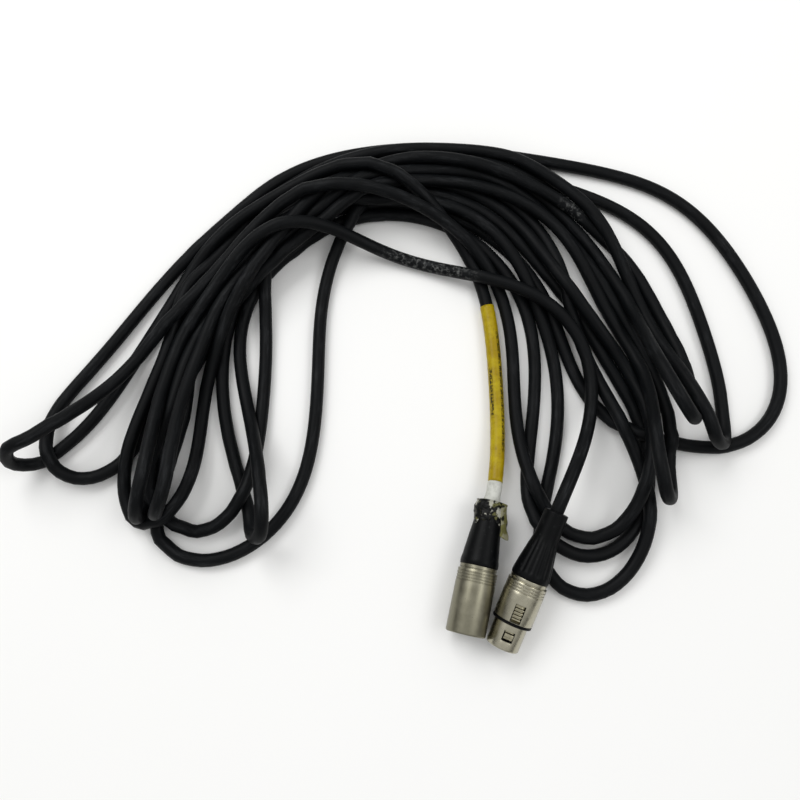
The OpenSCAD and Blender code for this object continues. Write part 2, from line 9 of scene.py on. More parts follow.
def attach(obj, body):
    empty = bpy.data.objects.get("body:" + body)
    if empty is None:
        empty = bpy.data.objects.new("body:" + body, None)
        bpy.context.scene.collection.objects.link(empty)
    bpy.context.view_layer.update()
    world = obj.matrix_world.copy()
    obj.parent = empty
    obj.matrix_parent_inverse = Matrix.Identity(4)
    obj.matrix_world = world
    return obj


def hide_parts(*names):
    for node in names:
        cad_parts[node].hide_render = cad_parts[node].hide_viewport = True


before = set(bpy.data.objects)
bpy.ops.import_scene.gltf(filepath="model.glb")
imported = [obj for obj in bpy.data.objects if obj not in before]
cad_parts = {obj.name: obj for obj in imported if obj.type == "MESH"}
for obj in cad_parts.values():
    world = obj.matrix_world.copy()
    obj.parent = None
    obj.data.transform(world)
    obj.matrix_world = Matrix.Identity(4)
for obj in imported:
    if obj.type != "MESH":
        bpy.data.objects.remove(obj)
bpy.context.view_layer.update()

# %% [markdown]
# # A microphone cable lying in a loose arch
# The object is one long three-pin lead. A matte black cable with a male plug at one end
# and a female plug with a latch at the other lies in about sixteen loose passes. This
# file adds what a machine drawing can't show: how a limp cable lies on itself, tape, dust
# and worn plating. In the model's frame z is up, and y runs from the male plug's mouth to
# its cable end. The cable and the plugs are worked out in millimetres and become metres
# as meshes. The camera, the floor and the lights are placed in metres.

# %% Sizes shared by the steps below
MM = 0.001
CABLE_D = 6.5
CABLE_R = CABLE_D / 2
SHELL_D = 19.0

# %% [markdown]
# ## Camera
# The viewer stands over the plugs and looks down, a little towards the far bundle.
# The camera's three axes are given as plain vectors, which is easier to check than
# angles: it looks 13 degrees off straight down and is turned 13 degrees about the vertical.

# %% Camera
camera_data = bpy.data.cameras.new("camera")
camera = bpy.data.objects.new("camera", camera_data)
bpy.context.scene.collection.objects.link(camera)
camera_right = Vector((0.97553, 0.21985, 0.0)).normalized()
camera_up = Vector((-0.21421, 0.95053, 0.22495)).normalized()
camera_back = camera_right.cross(camera_up)
turn = Matrix((camera_right, camera_up, camera_back)).transposed().to_4x4()
camera.matrix_world = Matrix.Translation(Vector((-0.048, -0.014, 0.391))) @ turn
camera_data.sensor_width = 36.0
camera_data.lens = 35.325
camera_data.clip_start = 0.01
bpy.context.scene.camera = camera
print("camera height, mm:", round(camera.matrix_world.translation.z / MM))

# %% [markdown]
# ## Where the cable runs
# A real cable has one length and no joins, so its run is one list of points from the
# male plug to the female plug. Each point is x, y and the lift of the cable's underside
# above the table, in millimetres: the same points that the machine model's cable follows.

# %% The listed points
CABLE_ROUTE = [
    # out of the male plug, over the near bundle and left to the far end
    (-15, 60, 2), (-22, 90, 1), (-33, 127, 1), (-43, 150, 2), (-60, 169, 7), (-86, 182, 14),
    (-118, 185, 14), (-149, 172, 8), (-181, 129, 4), (-201, 76, 0), (-219, 26, 0),
    # upright fold at the far left
    (-235, 3, 0), (-243, -1, 10), (-241, 4, 22), (-231, 12, 24),
    # back over the top of the bundle and down its near side
    (-203, 59, 7), (-175, 108, 10), (-149, 154, 14), (-120, 171, 21), (-82, 174, 14),
    (-45, 158, 8), (-24, 131, 2), (-9, 78, 0), (-4, 63, 4), (4, 47, 7), (14, 34, 7), (22, 28, 4),
    # round the near right loop and up again
    (36, 25, 0), (50, 34, 6), (57, 68, 9), (47, 109, 3), (23, 129, 6),
    (3, 145, 7), (-21, 173, 2), (-45, 192, 2), (-76, 196, 2), (-127, 174, 0), (-158, 130, 0),
    (-163, 89, 0), (-147, 36, 0),
    # upright fold between the left loops
    (-127, 2, 0), (-122, -8, 5), (-116, -8, 17), (-117, 3, 24),
    # low pass to the right
    (-141, 53, 2), (-156, 91, 0), (-151, 126, 2), (-124, 160, 4), (-98, 173, 2), (-59, 168, 0),
    (-23, 147, 0), (-8, 119, 0), (2, 64, 0), (6, 42, 0), (13, 28, 6), (23, 19, 3), (37, 16, 0),
    (54, 27, 0), (62, 57, 0), (49, 94, 0), (11, 138, 0), (-32, 177, 4),
    # left and round the first open loop
    (-64, 189, 3), (-95, 184, 6), (-141, 163, 6), (-153, 137, 5), (-139, 79, 0), (-134, 24, 2),
    (-140, -8, 1), (-152, -21, 2), (-167, -12, 4), (-173, 25, 9),
    # right, to the nearest loop of all
    (-174, 82, 7), (-159, 129, 8), (-140, 157, 11), (-112, 174, 11), (-67, 180, 6), (-29, 163, 7),
    (-2, 129, 6), (13, 72, 0), (14, 44, 0), (13, 28, 0), (17, 12, 0), (29, -1, 0), (46, 1, 0),
    # back to the left
    (59, 21, 1), (61, 52, 6), (45, 80, 5), (14, 125, 1), (-10, 174, 0), (-42, 197, 0),
    (-77, 202, 0), (-101, 188, 3), (-115, 159, 3),
    # round the widest left loop
    (-120, 125, 0), (-110, 70, 0), (-107, 13, 0), (-124, -13, 0), (-152, -27, 0), (-168, -19, 0),
    (-174, 10, 0), (-178, 65, 0), (-168, 118, 0), (-148, 152, 0), (-105, 176, 0), (-61, 178, 0),
    (-25, 160, 0),
    # under the right bundle and round the far right loop
    (8, 118, 0), (32, 88, 0), (63, 81, 0), (100, 87, 0), (119, 109, 0), (115, 142, 0), (86, 187, 0),
    (51, 215, 0), (16, 220, 0), (-41, 219, 0), (-98, 210, 0), (-148, 184, 0),
    # round the outer left loop
    (-183, 140, 0), (-210, 90, 0), (-227, 38, 0), (-231, 6, 3), (-220, -8, 3), (-206, 1, 0),
    (-191, 38, 0), (-184, 95, 0), (-161, 143, 5), (-124, 181, 4), (-72, 204, 5), (-15, 207, 0),
    (38, 195, 0), (62, 170, 0), (85, 122, 0),
    # upright fold at the right
    (92, 100, 0), (93, 87, 4), (86, 84, 15), (78, 93, 21),
    # left along the far edge of the bundle
    (46, 145, 1), (12, 190, 5), (-16, 206, 7), (-73, 213, 5), (-126, 195, 5), (-164, 157, 0),
    (-184, 99, 6), (-188, 41, 6), (-186, -2, 0), (-176, -17, 3),
    # right, up through the bundle
    (-163, -6, 5), (-164, 29, 3), (-165, 79, 12), (-152, 126, 22), (-125, 174, 11), (-99, 195, 12),
    (-56, 204, 13), (-1, 191, 6), (38, 163, 0), (65, 121, 5),
    # upright fold beside the last one
    (71, 106, 8), (73, 94, 12), (69, 89, 24), (60, 97, 28),
    # left, low, to an upright fold
    (36, 146, 1), (-1, 188, 0), (-33, 203, 0), (-88, 205, 0), (-138, 178, 0), (-169, 131, 0),
    (-182, 75, 0), (-177, 25, 6), (-170, 3, 6), (-168, -8, 12), (-164, -8, 24), (-162, 3, 30),
    # right, to an upright fold
    (-171, 60, 17), (-163, 114, 11), (-130, 161, 13), (-103, 187, 11), (-53, 202, 6),
    (-21, 196, 3), (16, 163, 0), (53, 117, 0), (67, 82, 2), (69, 66, 3), (70, 54, 8),
    (65, 51, 20), (59, 61, 26),
    # left over the bundle, to the last upright fold
    (48, 112, 6), (16, 159, 6), (-16, 188, 8), (-51, 196, 9), (-97, 184, 13), (-134, 153, 16),
    (-159, 112, 16), (-175, 58, 5), (-179, 18, 0), (-179, 1, 0), (-177, -11, 6), (-175, -12, 18),
    (-174, -1, 26),
    # over everything and down into the female plug
    (-180, 60, 12), (-164, 122, 17), (-145, 146, 22), (-125, 151, 18), (-100, 148, 7),
    (-57, 146, 6), (-5, 138, 11), (18, 119, 8), (26, 88, 9), (23, 61, 16),
]
print("hand points:", len(CABLE_ROUTE))

# %% [markdown]
# ## One smooth curve
# A rod that is bent by hand never has corners. A centripetal Catmull-Rom curve goes
# through every chosen point without overshooting where points lie close together, so it
# suits a run that has both long passes and tight folds. The cable starts and ends inside
# the boots, where it is straight.

# %% Ends inside the plugs, and the curve
male_end = np.array((-13.0, 31.0, SHELL_D / 2))
male_axis = np.array((0.0, 1.0, 0.0))
female_end = np.array((16.601, 32.9, 21.727))
female_axis = np.array((0.173216, 0.962694, 0.207912))
INSIDE_BOOT = 24.0
STRAIGHT_OUT = 9.0


def between(a, b, at_a, at_b, t):
    return (a * (at_b - t) + b * (t - at_a)) / (at_b - at_a)


def catmull_rom(points, pieces):
    """points on a centripetal Catmull-Rom curve through all points"""
    ends = [2 * points[0] - points[1]], [2 * points[-1] - points[-2]]
    p = np.array([*ends[0], *points, *ends[1]])
    curve = []
    for i in range(1, len(p) - 2):
        a, b, c, d = p[i - 1:i + 3]
        t1 = np.linalg.norm(b - a) ** 0.5
        t2 = t1 + np.linalg.norm(c - b) ** 0.5
        t3 = t2 + np.linalg.norm(d - c) ** 0.5
        for t in np.linspace(t1, t2, pieces, endpoint=False):
            bc = between(b, c, t1, t2, t)
            ac = between(between(a, b, 0, t1, t), bc, 0, t2, t)
            bd = between(bc, between(c, d, t2, t3, t), t1, t3, t)
            curve.append(between(ac, bd, t1, t2, t))
    curve.append(p[-2])
    return np.array(curve)


def distances(points):
    """how far along the run each point is"""
    return np.r_[0, np.cumsum(np.linalg.norm(np.diff(points, axis=0), axis=1))]


def points_at(points, wanted):
    """the run's points at the wanted distances"""
    s = distances(points)
    return np.stack([np.interp(wanted, s, points[:, k]) for k in range(3)], axis=1)


def evenly(points, step):
    """the same run with a point every step, or as near to that as fits"""
    length = distances(points)[-1]
    return points_at(points, np.linspace(0, length, int(round(length / step)) + 1))


male_lead = [male_end - INSIDE_BOOT * male_axis, male_end, male_end + STRAIGHT_OUT * male_axis]
female_lead = [female_end + STRAIGHT_OUT * female_axis, female_end,
               female_end - INSIDE_BOOT * female_axis]
centres = [np.array((x, y, lift + CABLE_R)) for x, y, lift in CABLE_ROUTE]
STEP = 4.0
PIECES_PER_SPAN = 12
run = evenly(catmull_rom(male_lead + centres + female_lead, PIECES_PER_SPAN), STEP)
run[:, 2] = np.maximum(run[:, 2], CABLE_R)
print("points along the run:", len(run))

# %% [markdown]
# ## Letting the cable settle
# The chosen points pass through each other here and there, and a real cable can't, so
# a short loop settles the run. Each turn pulls the points down a little, keeps them near
# the places that were chosen, smooths sharp bends, pushes touching passes a diameter
# apart, keeps the spacing along the cable and keeps everything above the table and off
# the plugs. It uses no random numbers, so every run gives the same cable.

# %% What the cable can't pass through
def along_female(distance):
    return female_end - distance * female_axis


PLUG_OBSTACLES = [
    # from, to, radius at each end
    (male_end - 61.8 * male_axis, male_end - 30 * male_axis, 9.6, 9.6),
    (male_end - 30 * male_axis, male_end - 2 * male_axis, 9.2, 6.6),
    (along_female(67), along_female(34), 9.6, 9.6),
    (along_female(33), along_female(13), 9.1, 6.2),
    (along_female(13), along_female(1), 6.2, 6.0),
]
FREE = slice(9, -9)  # the points outside the boots
# the label makes the cable thicker, so its stretch rests a little higher
LABEL_LIFT, LABEL_OVER, LIFT_FADES = 0.65, 130, 20
past_label = LABEL_OVER - (distances(run) - INSIDE_BOOT)
RESTS_AT = CABLE_R + LABEL_LIFT * np.clip(past_label / LIFT_FADES, 0, 1)


def push_off_plugs(points):
    for a, b, radius_a, radius_b in PLUG_OBSTACLES:
        ab = b - a
        t = np.clip((points - a) @ ab / (ab @ ab), 0, 1)
        away = points - (a + t[:, None] * ab)
        gap = np.linalg.norm(away, axis=1)
        sunk = np.maximum(0, radius_a + (radius_b - radius_a) * t + CABLE_R - gap)
        points = points + away / np.maximum(gap, 1e-6)[:, None] * sunk[:, None]
    return points


def close_pairs(points, reach):
    """pairs of points from different passes that are nearer than reach"""
    tree = KDTree(len(points))
    for i, p in enumerate(points):
        tree.insert(p, i)
    tree.balance()
    found = [(i, j) for i, p in enumerate(points) for _, j, _ in tree.find_range(p, reach)
             if j > i + 5]
    return np.array(sorted(found))


def bend_radius(points, span):
    """radius of the circle through each point and its neighbours span away"""
    a, b, c = points[:-2 * span], points[span:-span], points[2 * span:]
    ab, bc, ca = (np.linalg.norm(v, axis=1) for v in (b - a, c - b, c - a))
    half = (ab + bc + ca) / 2
    area = np.sqrt(np.maximum(half * (half - ab) * (half - bc) * (half - ca), 1e-9))
    return ab * bc * ca / (4 * area), (a + c) / 2 - b


# %% [markdown]
# ## Folds that stand up
# Where a bundle was bent over and let go, a pass turns back above itself and the cable's
# own stiffness holds the turn open, up to 43 mm high. The loop would flatten such a fold,
# so the points of each fold are found by their direction, which reverses within 40 mm of
# cable while it climbs. A fold that is too tight is opened first, and then it is held.

# %% Finding the upright folds
REVERSED = -0.3  # cosine between the directions at a fold's two ends
CLIMBS = 10  # mm
BLEND = 12  # points over which a fold's growth fades out on each side
FOLD_BEND, LYING_BEND, TIGHT = 13.4, 14.5, 13.4  # mm, radii


def find_folds(points, span=5):
    """a mask of the points in upright folds"""
    direction = np.gradient(points, axis=0)
    direction /= np.linalg.norm(direction, axis=1)[:, None]
    held = np.zeros(len(points), bool)
    for k in range(span, len(points) - span):
        turned = direction[k - span] @ direction[k + span] < REVERSED
        climbs = abs(points[k + span, 2] - points[k - span, 2]) > CLIMBS
        if turned and climbs:
            held[k - span + 1:k + span] = True
    return held


def open_folds(points, held, shortest):
    """grows each held stretch, from its middle and its lowest point, until no bend in it is
    under shortest, in mm"""
    points = points.copy()
    edges = np.flatnonzero(np.diff(np.r_[0, held.astype(int), 0]))
    for first, end in zip(edges[::2], edges[1::2]):
        if end - first < 5:
            continue
        tightest = bend_radius(points[first - 5:end + 5], 3)[0].min()
        grow = max(0.0, shortest / tightest - 1)
        reach = np.arange(first - BLEND, end + BLEND)
        share = np.clip(np.minimum(reach - first + BLEND, end - 1 + BLEND - reach) / BLEND, 0, 1)
        share = (grow * share * share * (3 - 2 * share))[:, None]
        fixed = points[(first + end) // 2].copy()
        fixed[2] = points[reach, 2].min()
        points[reach] += share * (points[reach] - fixed)
    return points


folds = find_folds(run)
tightest_before = bend_radius(run, 3)[0].min()
for _ in range(2):
    run = open_folds(run, folds, FOLD_BEND)
    lying = np.r_[[False] * 3, bend_radius(run, 3)[0] < TIGHT, [False] * 3]
    lying = np.convolve(lying, np.ones(9), "same") > 0
    run = open_folds(run, lying & ~folds, LYING_BEND)
print("upright folds:", int(np.sum(np.diff(folds.astype(int)) == 1)),
      " points held:", int(folds.sum()), " tightest bend before and after, mm:",
      tightest_before.round(1), bend_radius(run, 3)[0].min().round(1))


# %% The settling loop
STIFFNESS = 0.05
SHORTEST_BEND = 14.0  # mm
LATER_ON_TOP = 0.5  # mm: of two passes at one height, the one laid later rides over
CALM = 0.8  # from this share of the turns on, gravity is weak and contact is strong
GRAVITY, CALM_GRAVITY = 0.10, 0.03  # mm per turn
CONTACTS, CALM_CONTACTS = 3, 9
HOLD_PLAN, LET_GO, HOLD_HEIGHT = 0.10, 0.09, 0.05  # pull towards the chosen place
PUSH, KEEP_SPACING, OPEN_BENDS = 0.4, 0.4, 0.2
CROWD = 0.35  # how much a point that touches many others moves for each
CLEARANCE, LOOK_AROUND = 0.2, 3  # mm past a diameter


def settle(start, turns):
    points = start.copy()
    spacing = np.linalg.norm(np.diff(start, axis=0), axis=1).mean()
    heights = start[:, 2].copy()
    first, last = start[:10].copy(), start[-10:].copy()
    for turn in range(turns):
        done = turn / turns
        points[:, 2] -= GRAVITY if done < CALM else CALM_GRAVITY
        points[:, :2] += (HOLD_PLAN - LET_GO * done) * (start[:, :2] - points[:, :2])
        points[:, 2] += HOLD_HEIGHT * (1 - done) * (start[:, 2] - points[:, 2])
        # stiffness: each point moves towards the bend that its neighbours share, so that
        # wrinkles go and round loops stay
        for span in (1, 3):
            bend = points[:-2 * span] + points[2 * span:] - 2 * points[span:-span]
            points[2 * span:-2 * span] -= STIFFNESS * (bend[:-2 * span] + bend[2 * span:]
                                                       - 2 * bend[span:-span])
        radius, inward = bend_radius(points, 3)
        tight = np.where(radius < SHORTEST_BEND, np.minimum(1, SHORTEST_BEND / radius - 1), 0)
        shift = OPEN_BENDS * tight[:, None] * inward
        points[3:-3] += shift
        points[:-6] -= 0.5 * shift
        points[6:] -= 0.5 * shift
        if turn % 8 == 0:
            pairs = close_pairs(points, CABLE_D + LOOK_AROUND)
        i, j = pairs[:, 0], pairs[:, 1]
        for _ in range(CONTACTS if done < CALM else CALM_CONTACTS):
            apart = points[j] - points[i]
            distance = np.linalg.norm(apart, axis=1)
            direction = apart.copy()
            above = heights[j] - heights[i] + LATER_ON_TOP
            direction[:, 2] += np.clip(above, -1, 1) * max(0, 1 - 1.5 * done)
            direction /= np.maximum(np.linalg.norm(direction, axis=1), 1e-6)[:, None]
            sunk = np.maximum(0, CABLE_D + CLEARANCE - distance)
            push = PUSH * sunk[:, None] * direction
            total, touching = np.zeros_like(points), np.zeros(len(points))
            np.add.at(total, i, -push)
            np.add.at(total, j, push)
            np.add.at(touching, i, sunk > 0)
            np.add.at(touching, j, sunk > 0)
            points += total / np.maximum(1, CROWD * touching)[:, None]
            for part in (slice(0, None, 2), slice(1, None, 2)):
                step = points[1:][part] - points[:-1][part]
                length = np.linalg.norm(step, axis=1)
                stretch = (length - spacing) / np.maximum(length, 1e-6)
                fix = KEEP_SPACING * stretch[:, None] * step
                points[:-1][part] += fix
                points[1:][part] -= fix
        points[FREE] = push_off_plugs(points[FREE])
        points[:, 2] = np.maximum(points[:, 2], RESTS_AT)
        points[:10], points[-10:] = first, last
        points[folds] = start[folds]
    return points


settled = settle(run, turns=600)
pairs = close_pairs(settled, CABLE_D)
gaps = np.linalg.norm(settled[pairs[:, 1]] - settled[pairs[:, 0]], axis=1)
cable_length = float(distances(settled)[-1])
print("cable length, mm:", round(cable_length), " tightest bend, mm:",
      round(float(bend_radius(settled, 3)[0].min()), 1))
print("places where passes press together:", len(gaps), " nearest centres, mm:",
      round(float(gaps.min()), 2) if len(gaps) else "-", " highest point, mm:",
      round(float(settled[:, 2].max() + CABLE_R), 1))

# %% [markdown]
# ## Skin for cables and wraps
# The jacket is extruded, so its section is the same circle all the way: a circle carried
# along the run without twisting. The UV map keeps two coordinates: u is the distance along
# the cable in metres and v the share of the way round. Dust, scuffs and print follow them.

# %% Swept tube
def new_piece(name, points, edges, faces):
    mesh = bpy.data.meshes.new(name)
    mesh.from_pydata(points, edges, faces)
    piece = bpy.data.objects.new(name, mesh)
    bpy.context.scene.collection.objects.link(piece)
    return piece


def rings(rows, count):
    """the four-sided faces of a closed sheet of rows rings with count points each"""
    return [(i * count + k, i * count + (k + 1) % count, (i + 1) * count + (k + 1) % count,
             (i + 1) * count + k) for i in range(rows - 1) for k in range(count)]


def carried_frames(path):
    """a tangent and two side vectors at each point, without twist"""
    tangents = np.gradient(path, axis=0)
    tangents /= np.linalg.norm(tangents, axis=1)[:, None]
    side = np.cross(tangents[0], (0.0, 0.0, 1.0))
    sides = []
    for t in tangents:
        side = side - (side @ t) * t
        side /= np.linalg.norm(side)
        sides.append(side)
    sides = np.array(sides)
    return tangents, sides, np.cross(sides, tangents)


def tube_mesh(name, path, radii, count):
    """a tube through path, in mm; radii is one number or one row of radii per point"""
    tangents, sides, ups = carried_frames(path)
    radii = np.broadcast_to(np.asarray(radii, float), (len(path), count))
    angle = 2 * np.pi * np.arange(count) / count
    across, up = np.cos(angle)[None, :, None], np.sin(angle)[None, :, None]
    around = across * sides[:, None] + up * ups[:, None]
    points = (path[:, None] + radii[..., None] * around).reshape(-1, 3) * MM
    rows = len(path)
    caps = [tuple(range(count - 1, -1, -1)), tuple((rows - 1) * count + k for k in range(count))]
    piece = new_piece(name, [tuple(p) for p in points], [], rings(rows, count) + caps)
    along = distances(path) * MM
    uv = [(along[i + di], (k + dk) / count) for i in range(rows - 1) for k in range(count)
          for di, dk in ((0, 0), (0, 1), (1, 1), (1, 0))]
    uv += [(along[0], 0.0)] * count + [(along[-1], 0.0)] * count
    layer = piece.data.uv_layers.new(name="along_and_round")
    layer.data.foreach_set("uv", np.array(uv, float).ravel())
    piece.data.shade_smooth()
    # the sweep may run clockwise or not, so the outside is found and not assumed
    bm = bmesh.new()
    bm.from_mesh(piece.data)
    bmesh.ops.recalc_face_normals(bm, faces=bm.faces)
    bm.to_mesh(piece.data)
    bm.free()
    return piece


# %% Jacket
jacket = tube_mesh("cable_jacket", settled, CABLE_R, count=20)
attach(jacket, "plugs_and_cable")
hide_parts("cable")
print("jacket faces:", len(jacket.data.polygons))

# %% [markdown]
# ## Colours and nodes
# Colours are written as the hex values that a paint picker shows, which are sRGB.
# Shaders work in linear light, so one function turns one into the other. One more
# function adds a node with its settings and its inputs, and serves every material.

# %% Helpers for materials
def linear(hex_colour):
    """sRGB hex to linear red, green, blue and alpha"""
    parts = [int(hex_colour[k:k + 2], 16) / 255 for k in (1, 3, 5)]
    light = [c / 12.92 if c <= 0.04045 else ((c + 0.055) / 1.055) ** 2.4 for c in parts]
    return (*light, 1.0)


def add(tree, kind, inputs=None, **settings):
    """one node; inputs go by socket name or number and are values or other nodes' sockets"""
    made = tree.nodes.new("ShaderNode" + kind)
    for key, value in settings.items():
        setattr(made, key, value)
    for key, value in (inputs or {}).items():
        if isinstance(value, bpy.types.NodeSocket):
            tree.links.new(value, made.inputs[key])
        else:
            made.inputs[key].default_value = value
    return made


def start_material(name):
    """a new material, its node tree, its principled shader and its object coordinates"""
    material = bpy.data.materials.new(name)
    material.use_nodes = True
    tree = material.node_tree
    tree.nodes.clear()
    shader = add(tree, "BsdfPrincipled")
    add(tree, "OutputMaterial", {"Surface": shader.outputs[0]})
    return material, tree, shader, add(tree, "TexCoord").outputs["Object"]


def ramp(tree, value, stops):
    """a colour ramp of two stops, each (position, grey from 0 to 1)"""
    made = add(tree, "ValToRGB", {0: value})
    for element, (position, grey) in zip(made.color_ramp.elements, stops):
        element.position, element.color = position, (grey, grey, grey, 1.0)
    return made.outputs[0]


def noise(tree, place, scale, detail=2.0, roughness=0.5):
    inputs = {"Vector": place, "Scale": scale, "Detail": detail, "Roughness": roughness}
    return add(tree, "TexNoise", inputs).outputs["Fac"]


def mapped(tree, uv, scale_u, scale_v):
    return add(tree, "Mapping", {0: uv, "Scale": (scale_u, scale_v, 1.0)}).outputs[0]


def blend_colours(tree, share, below, above):
    """below where share is 0 and above where it is 1; each is hex or another node's socket"""
    below, above = (linear(c) if isinstance(c, str) else c for c in (below, above))
    made = add(tree, "Mix", {0: share, 6: below, 7: above}, data_type="RGBA")
    return made.outputs[2]


def maths(tree, operation, first, second=0.5):
    return add(tree, "Math", {0: first, 1: second}, operation=operation).outputs[0]


def map_range(tree, value, *limits):
    """value from (low, high) to (low, high); two limits alone are what 0 and 1 become"""
    numbers = range(3, 5) if len(limits) == 2 else range(1, 5)
    return add(tree, "MapRange", {0: value, **dict(zip(numbers, limits))}).outputs[0]


def face(tree, shader, colour, rough, **constants):
    """sets the shader's colour and roughness, and constants: metallic, ior or specular"""
    tree.links.new(colour, shader.inputs["Base Color"])
    if isinstance(rough, float):
        shader.inputs["Roughness"].default_value = rough
    else:
        tree.links.new(rough, shader.inputs["Roughness"])
    sockets = {"metallic": "Metallic", "ior": "IOR", "specular": "Specular IOR Level"}
    for key, value in constants.items():
        shader.inputs[sockets[key]].default_value = value


def bumps(tree, shader, height, depth_mm, strength, over=None):
    inputs = {"Height": height, "Distance": depth_mm * MM, "Strength": strength}
    below = {"Normal": over} if over is not None else {}
    made = add(tree, "Bump", inputs | below).outputs[0]
    tree.links.new(made, shader.inputs["Normal"])
    return made


print("picker grey #808080 is", round(linear("#808080")[0], 3), "in linear light")

# %% [markdown]
# ## Jacket: soft PVC, extruded
# Cable PVC leaves the die with a dull skin that scatters light, so the black reads as a
# very dark grey with a wide soft highlight. Handling leaves pale dust in long streaks,
# and one stretch has been dragged and is scuffed almost white. All of it is drawn in the
# cable's own coordinates, so the streaks run along the cable whichever way it lies.

# %% Jacket material
# where the jacket is rubbed pale: start and end in metres before the female end, and how much
WORN = [(0.239, 0.179, 0.40), (2.129, 2.111, 0.30)]
# v counts turns, and a turn is 20.4 mm of jacket: this scales v to metres, as u is
TURN = 0.0204


def jacket_pvc():
    material, tree, shader, solid = start_material("pvc_jacket_extruded")
    uv = add(tree, "UVMap", uv_map="along_and_round").outputs[0]
    place = mapped(tree, uv, 1.0, TURN)
    streaks = mapped(tree, uv, 1.0, 0.12)
    # dust: thin streaks along the cable, gathered in hand-sized patches
    dust = ramp(tree, noise(tree, streaks, 60.0, 6.0, 0.75), [(0.50, 0.0), (0.74, 1.0)])
    patches = ramp(tree, noise(tree, solid, 16.0, 3.0), [(0.42, 0.1), (0.66, 1.0)])
    amount = maths(tree, "MULTIPLY", maths(tree, "MULTIPLY", dust, patches), 0.22)
    along = add(tree, "SeparateXYZ", {0: uv}).outputs[0]
    base = blend_colours(tree, noise(tree, solid, 60.0, 4.0), "#040506", "#0b0d0f")
    colour = blend_colours(tree, amount, base, "#5b5d60")
    # rubbed stretches: broken pale marks that fade out at both ends
    marks = ramp(tree, noise(tree, place, 420.0, 6.0, 0.7), [(0.50, 0.0), (0.66, 1.0)])
    for start, end, share in WORN:
        middle, half = cable_length * MM - (start + end) / 2, (start - end) / 2
        far = maths(tree, "ABSOLUTE", maths(tree, "SUBTRACT", along, middle))
        inside = map_range(tree, far, half, half * 0.55, 0.0, share)
        colour = blend_colours(tree, maths(tree, "MULTIPLY", inside, marks), colour, "#8e8f8d")
    # soft PVC is about 1.53, but the dull die skin throws back less than a clean face
    rough = map_range(tree, noise(tree, solid, 90.0, 3.0), 0.42, 0.62)
    face(tree, shader, colour, rough, ior=1.45, specular=0.12)
    fine = bumps(tree, shader, noise(tree, place, 2200.0, 4.0, 0.6), 0.05, 0.5)
    bumps(tree, shader, noise(tree, streaks, 120.0, 2.0), 0.12, 0.5, over=fine)
    return material


jacket_material = jacket_pvc()
jacket.data.materials.append(jacket_material)
print("material:", jacket_material.name)

# %% [markdown]
# ## Yellow label
# Stage cables carry a wrapped label near one plug. Here it is a length of yellow vinyl
# tape rolled once round the jacket: the jacket's own sweep, a little larger, with a step
# where the tape's edge laps over itself and faint wrinkles. Its print has rubbed to dark
# smudges, and no words are drawn.

# %% Wraps on the cable
def part_of_run(start, length, step):
    """the settled run from start for length, both in mm from the male plug's cable end"""
    t = np.linspace(start, start + length, int(round(length / step)) + 1)
    return points_at(settled, t + INSIDE_BOOT), t


def soft_noise(*waves):
    """a smooth repeatable ripple: each wave is (share, frequency, phase) of one variable"""
    return sum(share * np.sin(frequency + phase) for share, frequency, phase in waves)


def wrap_radii(distance, thickness, lap, ripple):
    """radii of a rolled tape: one lap step round the way, ripples along it"""
    turn = np.arange(ROUND) / ROUND
    rows = distance[:, None]
    step = lap * (1 - (turn[None, :] + 0.25) % 1.0)  # the lap faces down, at v = 0.75
    wave = soft_noise((0.5, rows * 0.9 + 6.28 * turn * 2, 0.3),
                      (0.3, rows * 2.1 - 6.28 * turn, 1.1),
                      (0.2, rows * 4.3 + 6.28 * turn * 3, 2.0))
    return CABLE_R + thickness + step + ripple * wave


ROUND = 36  # points round each wrap
label_path, label_at = part_of_run(start=11, length=93, step=1.2)
label_radii = wrap_radii(label_at, thickness=0.32, lap=0.16, ripple=0.06)
label = tube_mesh("yellow_label", label_path, label_radii, ROUND)
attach(label, "plugs_and_cable")
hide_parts("label_sleeve")
white_path, white_at = part_of_run(start=1.7, length=9.2, step=0.6)
white_radii = wrap_radii(white_at, thickness=0.35, lap=0.12, ripple=0.16)
# it opens a little towards the plug
white_radii += (0.6 * np.clip((6.5 - white_at) / 5.0, 0, 1) ** 2)[:, None]
white = tube_mesh("white_tape_wrap", white_path, white_radii, ROUND)
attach(white, "plugs_and_cable")
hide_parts("white_tape")
print("label from", round(label_at[0]), "to", round(label_at[-1]), "mm from the male boot")

# %% [markdown]
# ## Vinyl and cotton tape
# Vinyl tape is calendered smooth and glossy, then goes satin with handling. Grey grime
# gathers on its edges and where fingers hold it. White cotton tape has a coarser,
# softer face that dirt sinks into.

